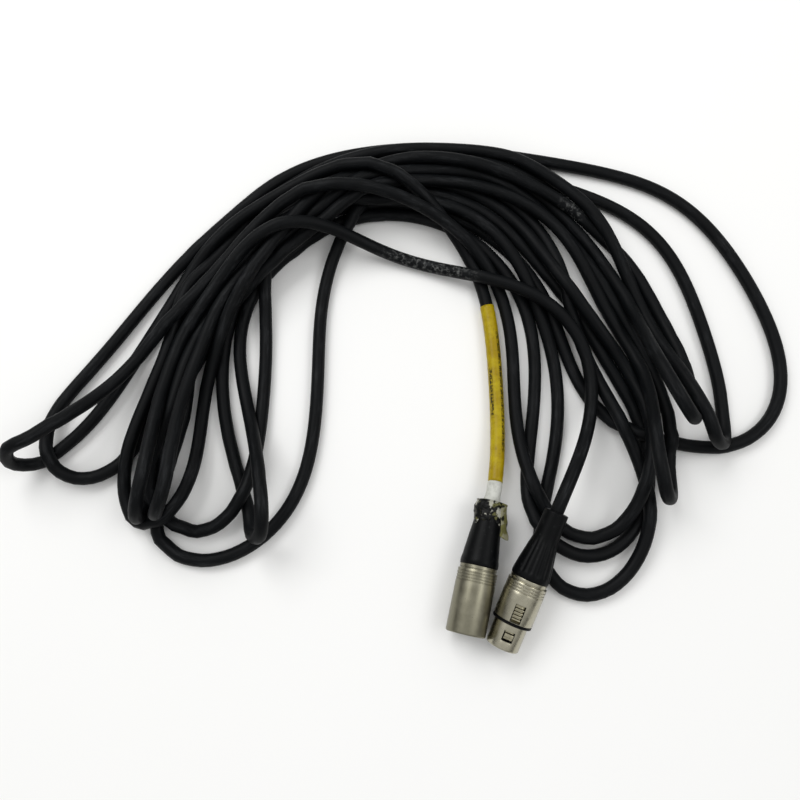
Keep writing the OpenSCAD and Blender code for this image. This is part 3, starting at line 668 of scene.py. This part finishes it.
# %% Tape materials
def vinyl_label():
    material, tree, shader, solid = start_material("vinyl_tape_calendered_yellow")
    uv = add(tree, "UVMap", uv_map="along_and_round").outputs[0]
    wide = ramp(tree, noise(tree, solid, 90.0, 5.0, 0.65), [(0.42, 0.0), (0.62, 1.0)])
    tone = blend_colours(tree, wide, "#957d03", "#ae9a08")
    grime_place = mapped(tree, uv, 1.0, TURN)
    grime = ramp(tree, noise(tree, grime_place, 520.0, 6.0, 0.75), [(0.55, 0.0), (0.68, 0.55)])
    tone = blend_colours(tree, grime, tone, "#5d500c")
    # rubbed print: two broken dark rows, on the right edge and lower on the left
    along, round_at = add(tree, "SeparateXYZ", {0: uv}).outputs[:2]
    broken = ramp(tree, noise(tree, grime_place, 900.0, 3.0, 0.8), [(0.44, 0.0), (0.51, 1.0)])
    for row, start, end in ((0.125, 0.014, 0.080), (0.385, 0.032, 0.060)):
        near = maths(tree, "ABSOLUTE", maths(tree, "SUBTRACT", round_at, row))
        row_mask = map_range(tree, near, 0.055, 0.035, 0.0, 1.0)
        for other in (map_range(tree, along, start, start + 0.003, 0.0, 1.0),
                      map_range(tree, along, end, end - 0.003, 0.0, 1.0), broken):
            row_mask = maths(tree, "MULTIPLY", row_mask, other)
        tone = blend_colours(tree, row_mask, tone, "#211d0a")
    face(tree, shader, tone, map_range(tree, wide, 0.34, 0.5), ior=1.5, specular=0.2)
    bumps(tree, shader, noise(tree, solid, 700.0, 4.0), 0.08, 0.6)
    return material


def cotton_tape():
    material, tree, shader, solid = start_material("cotton_tape_woven_white")
    dirt = ramp(tree, noise(tree, solid, 260.0, 6.0, 0.7), [(0.45, 0.0), (0.75, 0.7)])
    tone = blend_colours(tree, dirt, "#c9cac3", "#85867c")
    face(tree, shader, tone, 0.75)
    # threads are 0.6 mm apart, so a sine wave of that pitch stands for the weave
    weave = add(tree, "TexWave", {"Vector": solid, "Scale": 520.0, "Distortion": 1.5})
    bumps(tree, shader, weave.outputs["Fac"], 0.08, 0.5)
    return material


label.data.materials.append(vinyl_label())
white.data.materials.append(cotton_tape())
print("tape materials: 2")

# %% [markdown]
# ## The plugs' own frames
# A plug is easiest to think about on its own axis, standing on its cable end. Each plug
# therefore gets a frame: x to its right, y up through its latch side and z towards its
# mouth. Pieces are modelled there and then laid down by one matrix, and the place is
# applied to the mesh.

# %% Frames, turning and placing
def plug_frame(end, right, up):
    right, up = Vector(right), Vector(up)
    turn = Matrix((right, up, right.cross(up))).transposed().to_4x4()
    return Matrix.Translation(Vector(end) * MM) @ turn


MALE = plug_frame(male_end, (1, 0, 0), (0, 0, 1))
FEMALE = plug_frame(female_end, (0.984196, -0.177085, 0.0), (-0.036818, -0.204626, 0.978148))


def select_only(piece):
    bpy.ops.object.select_all(action="DESELECT")
    piece.select_set(True)
    bpy.context.view_layer.objects.active = piece


def edit_all(piece):
    """opens the piece in edit mode with every point selected"""
    select_only(piece)
    bpy.ops.object.mode_set(mode="EDIT")
    bpy.ops.mesh.select_all(action="SELECT")


def end_edit():
    """turns every face outwards and leaves edit mode"""
    bpy.ops.mesh.select_all(action="SELECT")
    bpy.ops.mesh.normals_make_consistent(inside=False)
    bpy.ops.object.mode_set(mode="OBJECT")


def modify(piece, kind, **settings):
    """adds one modifier with its settings and applies it"""
    select_only(piece)
    made = piece.modifiers.new("change", kind)
    for key, value in settings.items():
        setattr(made, key, value)
    bpy.ops.object.modifier_apply(modifier="change")


def thicken(piece, thickness, offset):
    """gives a sheet a wall, thickness in mm, and soft edges"""
    modify(piece, "SOLIDIFY", thickness=thickness * MM, offset=offset)
    modify(piece, "SUBSURF", levels=1, render_levels=1)


def finish_piece(piece, plug, node, smooth_angle=35, body="plugs_and_cable"):
    """lays the piece in its plug, applies its place, hangs it on its body's empty and hides the
    machine model's piece that it replaces
    """
    select_only(piece)
    bpy.ops.object.shade_smooth_by_angle(angle=math.radians(smooth_angle))
    piece.matrix_world = plug
    bpy.ops.object.transform_apply(location=True, rotation=True, scale=True)
    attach(piece, body)
    if node:
        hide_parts(node)
    print(piece.name, "faces:", len(piece.data.polygons))


def mark_turned(piece):
    """a UV map for turned parts: u is the share of a turn, v the distance along in metres"""
    layer = piece.data.uv_layers.new(name="turned")
    for polygon in piece.data.polygons:
        corners = [piece.data.vertices[v].co for v in polygon.vertices]
        angles = [math.atan2(co.y, co.x) for co in corners]
        if max(angles) - min(angles) > math.pi:
            angles = [a + 2 * math.pi if a < 0 else a for a in angles]
        for loop, co, a in zip(polygon.loop_indices, corners, angles):
            layer.data[loop].uv = (a / (2 * math.pi), co.z)


def lathe(name, outline, steps=96):
    """turns a closed outline of (radius, distance) in mm about the z axis"""
    piece = new_piece(name, [(r * MM, 0.0, z * MM) for r, z in outline],
                      [(k, (k + 1) % len(outline)) for k in range(len(outline))], [])
    edit_all(piece)
    bpy.ops.mesh.spin(steps=steps, angle=2 * math.pi, center=(0, 0, 0), axis=(0, 0, 1))
    bpy.ops.mesh.select_all(action="SELECT")
    bpy.ops.mesh.remove_doubles(threshold=1e-6)
    end_edit()
    mark_turned(piece)
    return piece


def cut_window(piece, low, high):
    """cuts a box, given by two corners in mm, out of a piece"""
    bpy.ops.object.select_all(action="DESELECT")
    size = [(h - l) * MM for l, h in zip(low, high)]
    middle = [(h + l) / 2 * MM for l, h in zip(low, high)]
    bpy.ops.mesh.primitive_cube_add(size=1.0, location=middle, scale=size)
    cutter = bpy.context.active_object
    modify(piece, "BOOLEAN", object=cutter, operation="DIFFERENCE", solver="EXACT")
    bpy.data.objects.remove(cutter)


def break_edges(piece, width_mm, angle=40):
    modify(piece, "BEVEL", width=width_mm * MM, segments=2, limit_method="ANGLE",
           angle_limit=math.radians(angle))


print("female plug's mouth, mm:", [round(v / MM, 1) for v in FEMALE @ Vector((0, 0, 67.7 * MM))])

# %% [markdown]
# ## Shells
# Plug shells are die-cast zinc tubes, tumbled and nickel plated to a satin. They are
# round, so they are turned: an outline is spun about the axis, as on a lathe. Near the
# boot the tube has a small step for the boot's collar and fine grip rings. The mouth's
# edge is rounded so that it leads a mating plug in.

# %% Male shell
SHELL_R = SHELL_D / 2


def grip_rings(start, count, radius, depth=0.28, pitch=1.35, width=0.5, slope=0.12):
    """outline points for fine grooves, going up the axis"""
    points = []
    for k in range(count):
        z = start + k * pitch
        points += [(radius, z), (radius - depth, z + slope), (radius - depth, z + width - slope),
                   (radius, z + width)]
    return points


def shell_step(z):
    """outline points for the step that the boot's collar fits against, from z up"""
    return [(8.15, z), (8.7, z), (8.85, z + 0.15), (8.85, z + 1.5), (8.55, z + 1.65),
            (8.55, z + 2.0), (9.35, z + 2.15), (9.42, z + 2.35)]


male_outline = (shell_step(30.0) + grip_rings(33.3, count=4, radius=9.45)
                + [(SHELL_R, 39.4), (SHELL_R, 60.9), (9.38, 61.4), (9.05, 61.75), (8.7, 61.8),
                   (8.4, 61.7), (8.15, 61.3)])
male_shell = lathe("male_shell_tube", male_outline)
finish_piece(male_shell, MALE, "male_shell")

# %% [markdown]
# The female shell is in two tubes with a black ring between them. Its upper side has a
# window for the ribbed push button, and the front tube has a small window where the
# latch's hook comes through to hold the male shell.

# %% Female shell, ring and barrel
female_outline = (shell_step(33.5) + grip_rings(36.8, count=3, radius=9.45)
                  + [(SHELL_R, 41.5), (SHELL_R, 53.85), (9.35, 54.1), (7.97, 54.1),
                     (7.97, 46.8), (8.15, 46.8)])
female_shell = lathe("female_shell_tube", female_outline)
cut_window(female_shell, (-2.5, 1.0, 45.2), (2.5, 12.0, 53.8))
break_edges(female_shell, 0.12)
finish_piece(female_shell, FEMALE, "female_shell")

ring = lathe("black_shoulder_ring", [(7.97, 54.12), (9.2, 54.12), (9.5, 54.35), (9.5, 55.2),
                                     (9.2, 55.5), (7.97, 55.5)])
finish_piece(ring, FEMALE, "shoulder_ring")

barrel = lathe("female_front_barrel", [(6.8, 47.1), (7.95, 47.1), (7.95, 66.9), (7.8, 67.4),
                                       (7.5, 67.65), (7.15, 67.7), (6.9, 67.55), (6.8, 67.2)])
cut_window(barrel, (-2.6, 1.0, 58.6), (2.6, 12.0, 63.5))
cut_window(barrel, (-2.5, 1.0, 46.0), (2.5, 12.0, 53.8))
break_edges(barrel, 0.12)
finish_piece(barrel, FEMALE, "female_barrel")

# %% [markdown]
# ## Satin nickel
# Nickel is a slightly warm white metal. Tumbling before plating leaves it satin, and
# years of plugging leave faint turned lines, dull patches and dark specks where the
# plating has gone. A metal's colour is its reflection, so it needs something to reflect:
# the softboxes and the pale table.

# %% Nickel and contact materials
def satin_nickel(name, dark, light, rough_low, rough_high):
    material, tree, shader, solid = start_material(name)
    turned = add(tree, "UVMap", uv_map="turned").outputs[0]
    # turned lines are about 0.2 mm apart and run a twentieth of the way round
    lines = noise(tree, mapped(tree, turned, 0.004, 1.0), 5200.0, 3.0, 0.6)
    dull = noise(tree, solid, 220.0, 5.0, 0.65)
    tone = blend_colours(tree, dull, dark, light)
    specks = ramp(tree, noise(tree, solid, 1500.0, 2.0, 0.5), [(0.70, 0.0), (0.76, 0.8)])
    tone = blend_colours(tree, specks, tone, "#47433a")
    rough = map_range(tree, dull, 0.3, 0.7, rough_low, rough_high)
    face(tree, shader, tone, rough, metallic=1.0)
    fine = bumps(tree, shader, lines, 0.012, 0.35)
    bumps(tree, shader, dull, 0.05, 0.3, over=fine)
    return material


def plain_metal(name, low, high, rough_low, rough_high, scale):
    """a small metal part: two tones and two roughnesses in one pattern"""
    material, tree, shader, solid = start_material(name)
    pattern = noise(tree, solid, scale, 4.0, 0.6)
    rough = map_range(tree, pattern, rough_low, rough_high)
    face(tree, shader, blend_colours(tree, pattern, low, high), rough, metallic=1.0)
    bumps(tree, shader, pattern, 0.02, 0.3)
    return material


# one plating in two copies: the male shell's darker copy is painted shade and the female shell's
# brighter, glossier copy is a painted highlight
shaded_nickel = satin_nickel("nickel_plate_satin_shaded_copy", "#716e5d", "#949180", 0.30, 0.44)
lit_nickel = satin_nickel("nickel_plate_satin_lit_copy", "#979382", "#bdb9a6", 0.20, 0.34)
male_shell.data.materials.append(shaded_nickel)
for piece in (female_shell, barrel):
    piece.data.materials.append(lit_nickel)
print("materials:", shaded_nickel.name, lit_nickel.name)

# %% [markdown]
# ## Boots
# A boot stops the cable from breaking where it enters the plug. It is injection moulded
# in a tough black plastic. The male boot is a plain taper with a collar. The female boot
# keeps a straight neck and then flares, with lengthwise ribs that fingers grip when the
# boot is screwed on. Ribs start as columns of points on a turned cone: every fourth
# column is drawn in towards the axis, and subdivision rounds the result.

# %% Male boot
male_boot_outline = [(3.4, 0.0), (5.2, 0.0), (5.65, 0.15), (5.8, 0.6), (5.9, 3.0), (6.6, 8.0),
                     (7.6, 16.0), (8.45, 23.0), (8.75, 26.0), (9.0, 27.0), (9.12, 28.0),
                     (9.12, 29.6), (8.95, 29.95), (8.0, 30.0), (8.0, 36.4), (6.9, 36.4),
                     (6.9, 29.2), (5.0, 7.0), (5.0, 4.0), (3.4, 3.0)]
male_boot = lathe("male_boot_moulding", male_boot_outline)
finish_piece(male_boot, MALE, "male_boot")

# %% Female boot
female_boot_outline = [(3.4, 0.0), (5.0, 0.0), (5.65, 0.1), (5.8, 0.5), (5.8, 1.2), (5.9, 6.0),
                       (6.0, 11.5), (6.1, 13.5), (6.6, 16.0), (7.4, 20.5), (8.2, 25.0),
                       (8.65, 28.0), (8.8, 29.3), (9.05, 30.2), (9.12, 31.0), (9.12, 33.0),
                       (9.0, 33.4), (8.0, 33.5), (8.0, 39.9), (6.9, 39.9), (6.9, 32.6),
                       (5.0, 17.0), (5.0, 4.0), (3.4, 3.0)]
COLUMNS, EVERY = 56, 4  # columns of points on the cone, and every which one is drawn in
DRAWN_IN = 0.94
female_boot = lathe("female_boot_moulding", female_boot_outline, steps=COLUMNS)
select_only(female_boot)
bpy.ops.object.mode_set(mode="EDIT")
bpy.ops.mesh.select_all(action="DESELECT")
bpy.ops.object.mode_set(mode="OBJECT")
for v in female_boot.data.vertices:
    radius, z = math.hypot(v.co.x, v.co.y) / MM, v.co.z / MM
    column = round(math.degrees(math.atan2(v.co.y, v.co.x)) / (360 / COLUMNS))
    v.select = column % EVERY == 0 and 14.0 < z < 30.5 and radius > 6.3
bpy.ops.object.mode_set(mode="EDIT")
bpy.ops.mesh.select_mode(type="VERT")
bpy.ops.transform.resize(value=(DRAWN_IN, DRAWN_IN, 1.0), center_override=(0.0, 0.0, 0.0))
bpy.ops.object.mode_set(mode="OBJECT")
modify(female_boot, "SUBSURF", levels=2, render_levels=2)
finish_piece(female_boot, FEMALE, "female_boot", smooth_angle=60)

# %% [markdown]
# ## Moulded black plastic
# Injection-moulded nylon comes out of the tool with a faint spark-eroded grain, a satin
# that is shinier than the cable. Edges that rub on tables polish up and pick up dust.

# %% Boot material
def moulded_nylon(name, dark, light, rough_low, rough_high):
    material, tree, shader, solid = start_material(name)
    cloud = noise(tree, solid, 150.0, 4.0, 0.6)
    tone = blend_colours(tree, cloud, dark, light)
    dust = ramp(tree, noise(tree, solid, 600.0, 5.0, 0.7), [(0.60, 0.0), (0.74, 0.12)])
    tone = blend_colours(tree, dust, tone, "#6a6b6c")
    rough = map_range(tree, cloud, rough_low, rough_high)
    face(tree, shader, tone, rough, ior=1.5, specular=0.1)
    # the tool's grain is about 0.2 mm
    bumps(tree, shader, noise(tree, solid, 4200.0, 2.0), 0.015, 0.5)
    return material


boot_nylon = moulded_nylon("nylon_injection_moulded_black", "#020304", "#060708", 0.34, 0.5)
for piece in (male_boot, female_boot, ring):
    piece.data.materials.append(boot_nylon)
print("material:", boot_nylon.name)

# %% [markdown]
# ## Latch
# The push button, its lever and the hook behind it are one stamped and moulded lever that
# turns on a steel pin. Seen from the side it is a single outline, so that outline is drawn
# once, filled, and extruded to the lever's width. The button's top has cross ribs for a
# thumb, and a bevel breaks every edge.

# %% Latch lever
LATCH_W = 4.2
HINGE_Y, HINGE_Z, HUB_R = 6.0, 43.4, 1.45
hub = [(HINGE_Y + HUB_R * math.cos(math.radians(a)), HINGE_Z + HUB_R * math.sin(math.radians(a)))
       for a in range(60, 301, 20)]
ribs = []
for k in range(4):
    z = 46.9 + 1.62 * k
    ribs += [(9.6, z), (9.62, z + 0.64), (7.9, z + 0.8), (7.9, z + 1.48)]
side = (list(reversed(hub)) + [(5.0, 44.6), (5.0, 62.5), (6.5, 62.5), (7.9, 62.3), (8.9, 60.9),
        (8.9, 59.5), (6.1, 59.5), (6.1, 53.4), (9.4, 53.4)]
        + list(reversed(ribs))[1:] + [(7.4, 46.8), (7.4, 45.6), (6.1, 45.6), (6.1, 45.0)])
lever = new_piece("latch_lever_stamping", [(-LATCH_W / 2 * MM, y * MM, z * MM) for y, z in side],
                  [], [range(len(side))])
edit_all(lever)
bpy.ops.mesh.extrude_region_move(TRANSFORM_OT_translate={"value": (LATCH_W * MM, 0, 0)})
end_edit()
break_edges(lever, 0.14, angle=30)
finish_piece(lever, FEMALE, "latch", body="latch_lever")
lever.data.materials.append(plain_metal("zinc_die_cast_lacquered", "#8c8770", "#b4af99", 0.22, 0.36,
                                        400.0))

# %% [markdown]
# ## Torn tape
# Cloth tape was wound over the boot's end and has been torn off again. What is left is a
# lumpy wad: black cloth, grey-white paper and glue where the cloth has gone, and a stiff
# khaki flap that hangs at the right. It is a sleeve whose rows follow the boot, pushed in
# and out in lumps, with a lower edge that is cut at a different length all the way round.

# %% Torn tape sleeve
PAST_BOOT = 1.8  # mm of tape below the boot's end


def torn_sleeve(rows=30, count=72):
    verts = []
    for r in range(rows):
        t = r / (rows - 1)
        for c in range(count):
            a = 2 * math.pi * c / count
            ragged = soft_noise((1.1, 3 * a, 0.4), (0.8, 7 * a, 1.9), (0.45, 13 * a, 0.2))
            end = 8.6 + ragged
            z = -PAST_BOOT + t * (end + PAST_BOOT)
            if r == 0:
                radius = CABLE_R + 0.45
            else:
                boot_r = 5.9 + max(0.0, z - 3.0) * 0.117
                bulge = 1.1 * math.exp(-((a - 2.9) / 0.7) ** 2 - ((z - 2.6) / 2.4) ** 2)
                lumps = soft_noise((0.34, 4 * a + 0.9 * z, 0.5), (0.24, 9 * a - 1.3 * z, 2.2),
                                   (0.16, 17 * a + 2.9 * z, 1.0), (0.14, 5 * a - 2.2 * z, 0.1))
                rim = 0.35 * math.exp(-((z + 1.5) / 0.5) ** 2)
                radius = boot_r + 0.85 + 0.6 * abs(lumps) + bulge + rim - 0.6 * t ** 6
            verts.append((radius * math.cos(a) * MM, radius * math.sin(a) * MM, z * MM))
    piece = new_piece("torn_cloth_tape", verts, [], rings(rows, count))
    edit_all(piece)
    end_edit()
    thicken(piece, 0.35, -1.0)
    mark_turned(piece)
    return piece


torn = torn_sleeve()
finish_piece(torn, MALE, "torn_tape", smooth_angle=70)

# %% Flap of the torn tape
bpy.ops.object.select_all(action="DESELECT")
bpy.ops.mesh.primitive_grid_add(x_subdivisions=10, y_subdivisions=26, size=1.0)
flap = bpy.context.active_object
flap.name = "torn_tape_flap"
for v in flap.data.vertices:
    across, down = v.co.x + 0.5, v.co.y + 0.5
    z = -1.2 + 15.6 * down + 1.1 * math.sin(2.4 * across) * down ** 3
    inner = Vector((4.5, 5.4)).lerp(Vector((6.9, 4.3)), down ** 1.3)
    outer = Vector((7.2, -0.6)).lerp(Vector((11.2, 0.9)), down ** 1.3)
    spot = inner.lerp(outer, across)
    spot += spot.normalized() * (1.3 - 0.9 * down) * math.sin(math.pi * across)
    spot *= 1 + 0.1 * soft_noise((0.3, down * 11 + across * 3, 0.2),
                                 (0.2, down * 23 - across * 7, 1.3))
    v.co = (spot.x * MM, spot.y * MM, z * MM)
thicken(flap, 0.7, 0.0)
finish_piece(flap, MALE, None, smooth_angle=70)

# %% [markdown]
# ## Cloth tape, torn
# Three layers show: black polyethylene with a cloth print, the grey-white paper and glue
# under it, and khaki scrim where it is frayed. One noise places the paper and another the
# scrim, each cut sharply so that borders are ragged as a tear's are. Scrim threads are 1 mm apart.

# %% Torn tape materials
def torn_cloth(name, black, paper, khaki, levels):
    material, tree, shader, solid = start_material(name)
    tear = noise(tree, solid, 190.0, 6.0, 0.62)
    other = noise(tree, solid, 330.0, 5.0, 0.6)
    pale = ramp(tree, tear, [(levels[0], 0.0), (levels[0] + 0.03, 1.0)])
    frayed = ramp(tree, other, [(levels[1], 0.0), (levels[1] + 0.05, 1.0)])
    fibre = noise(tree, solid, 1500.0, 3.0, 0.7)
    paper_tone = blend_colours(tree, fibre, paper, "#77766a")
    khaki_tone = blend_colours(tree, fibre, khaki, "#3d3c22")
    tone = blend_colours(tree, pale, black, paper_tone)
    tone = blend_colours(tree, frayed, tone, khaki_tone)
    face(tree, shader, tone, map_range(tree, pale, 0.38, 0.8), specular=0.15)
    weave = add(tree, "TexWave", {"Vector": solid, "Scale": 320.0, "Distortion": 2.0})
    fine = bumps(tree, shader, weave.outputs["Fac"], 0.08, 0.4)
    bumps(tree, shader, tear, 0.6, 0.7, over=fine)
    return material


torn.data.materials.append(torn_cloth("cloth_tape_torn_black", "#040504", "#c3c2b4", "#6b6a3c",
                                      (0.52, 0.58)))
flap.data.materials.append(torn_cloth("cloth_tape_frayed_khaki", "#17180f", "#8d8a66", "#7c7a47",
                                      (0.44, 0.47)))
print("torn tape faces:", len(torn.data.polygons) + len(flap.data.polygons))

# %% [markdown]
# ## Pieces inside the plugs
# The inserts, contacts, chucks, cores, pin and spring are the machine model's own shapes,
# which are right as they are. Only their materials are made here: glass-filled nylon for
# the inserts, plated brass for the contacts, spring steel, and coloured PVC on the cores.

# %% Materials for the machine model's own pieces
def dress(material, *names):
    for name in names:
        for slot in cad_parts[name].material_slots:
            slot.material = material
    print(material.name, "->", ", ".join(names))


contact_plate = plain_metal("brass_silver_plated_contact", "#b9ad86", "#d3caa6", 0.22, 0.36, 500.0)
spring_steel = plain_metal("spring_steel_nickel_plated", "#8b8a86", "#aaa8a2", 0.28, 0.4, 500.0)
insert_nylon = moulded_nylon("nylon_glass_filled_black", "#0c0d0f", "#17181a", 0.45, 0.6)
chuck_nylon = moulded_nylon("acetal_chuck_dark_grey", "#232427", "#313236", 0.4, 0.55)
core_pvc = moulded_nylon("pvc_core_insulation_red", "#7c1c14", "#9c2a1e", 0.4, 0.5)
dress(insert_nylon, "male_insert", "female_insert")
dress(contact_plate, "male_pin_1", "male_pin_2", "male_pin_3", "socket_1", "socket_2", "socket_3")
dress(spring_steel, "male_ground_tab", "female_ground_tab", "latch_pin", "latch_spring")
dress(chuck_nylon, "male_chuck", "female_chuck")
dress(core_pvc, "male_wires", "female_wires")

# %% Floor and lights
def add_floor():
    bpy.ops.object.select_all(action="DESELECT")
    bpy.ops.mesh.primitive_plane_add(size=6.0, location=(-0.06, 0.09, 0.0))
    floor = bpy.context.active_object
    floor.name = "floor"
    bpy.ops.object.transform_apply(location=True, rotation=True, scale=True)
    material, tree, shader, solid = start_material("pale_table")
    tone = blend_colours(tree, noise(tree, solid, 3.0), "#f2f2f0", "#f6f6f5")
    face(tree, shader, tone, 0.9)
    floor.data.materials.append(material)


def add_softbox(name, place, aim, size, power):
    light = bpy.data.lights.new(name, "AREA")
    light.shape = "RECTANGLE"
    light.size, light.size_y = size
    light.energy = power
    lamp = bpy.data.objects.new(name, light)
    bpy.context.scene.collection.objects.link(lamp)
    direction = Vector(aim) - Vector(place)
    turn = direction.to_track_quat("-Z", "Y").to_matrix().to_4x4()
    lamp.matrix_world = Matrix.Translation(Vector(place)) @ turn


add_floor()
world = bpy.data.worlds.new("studio")
bpy.context.scene.world = world
world.use_nodes = True
# a studio's walls are dimmer than its lit ceiling, which gives round metal its dark sides
sky = world.node_tree
height = add(sky, "SeparateXYZ", {0: add(sky, "TexCoord").outputs["Generated"]})
walls = ramp(sky, height.outputs[2], [(0.05, 0.16), (0.60, 1.0)])
sky.links.new(walls, sky.nodes["Background"].inputs["Color"])
sky.nodes["Background"].inputs["Strength"].default_value = 0.72
middle = (-0.06, 0.09, 0.0)
add_softbox("softbox_left", (-0.9, 0.7, 1.3), middle, (1.2, 0.8), 13.0)
add_softbox("softbox_right", (0.9, 0.3, 1.4), middle, (0.9, 0.6), 5.0)
bpy.context.scene.view_settings.view_transform = "Standard"
print("lights:", len(bpy.data.lights))
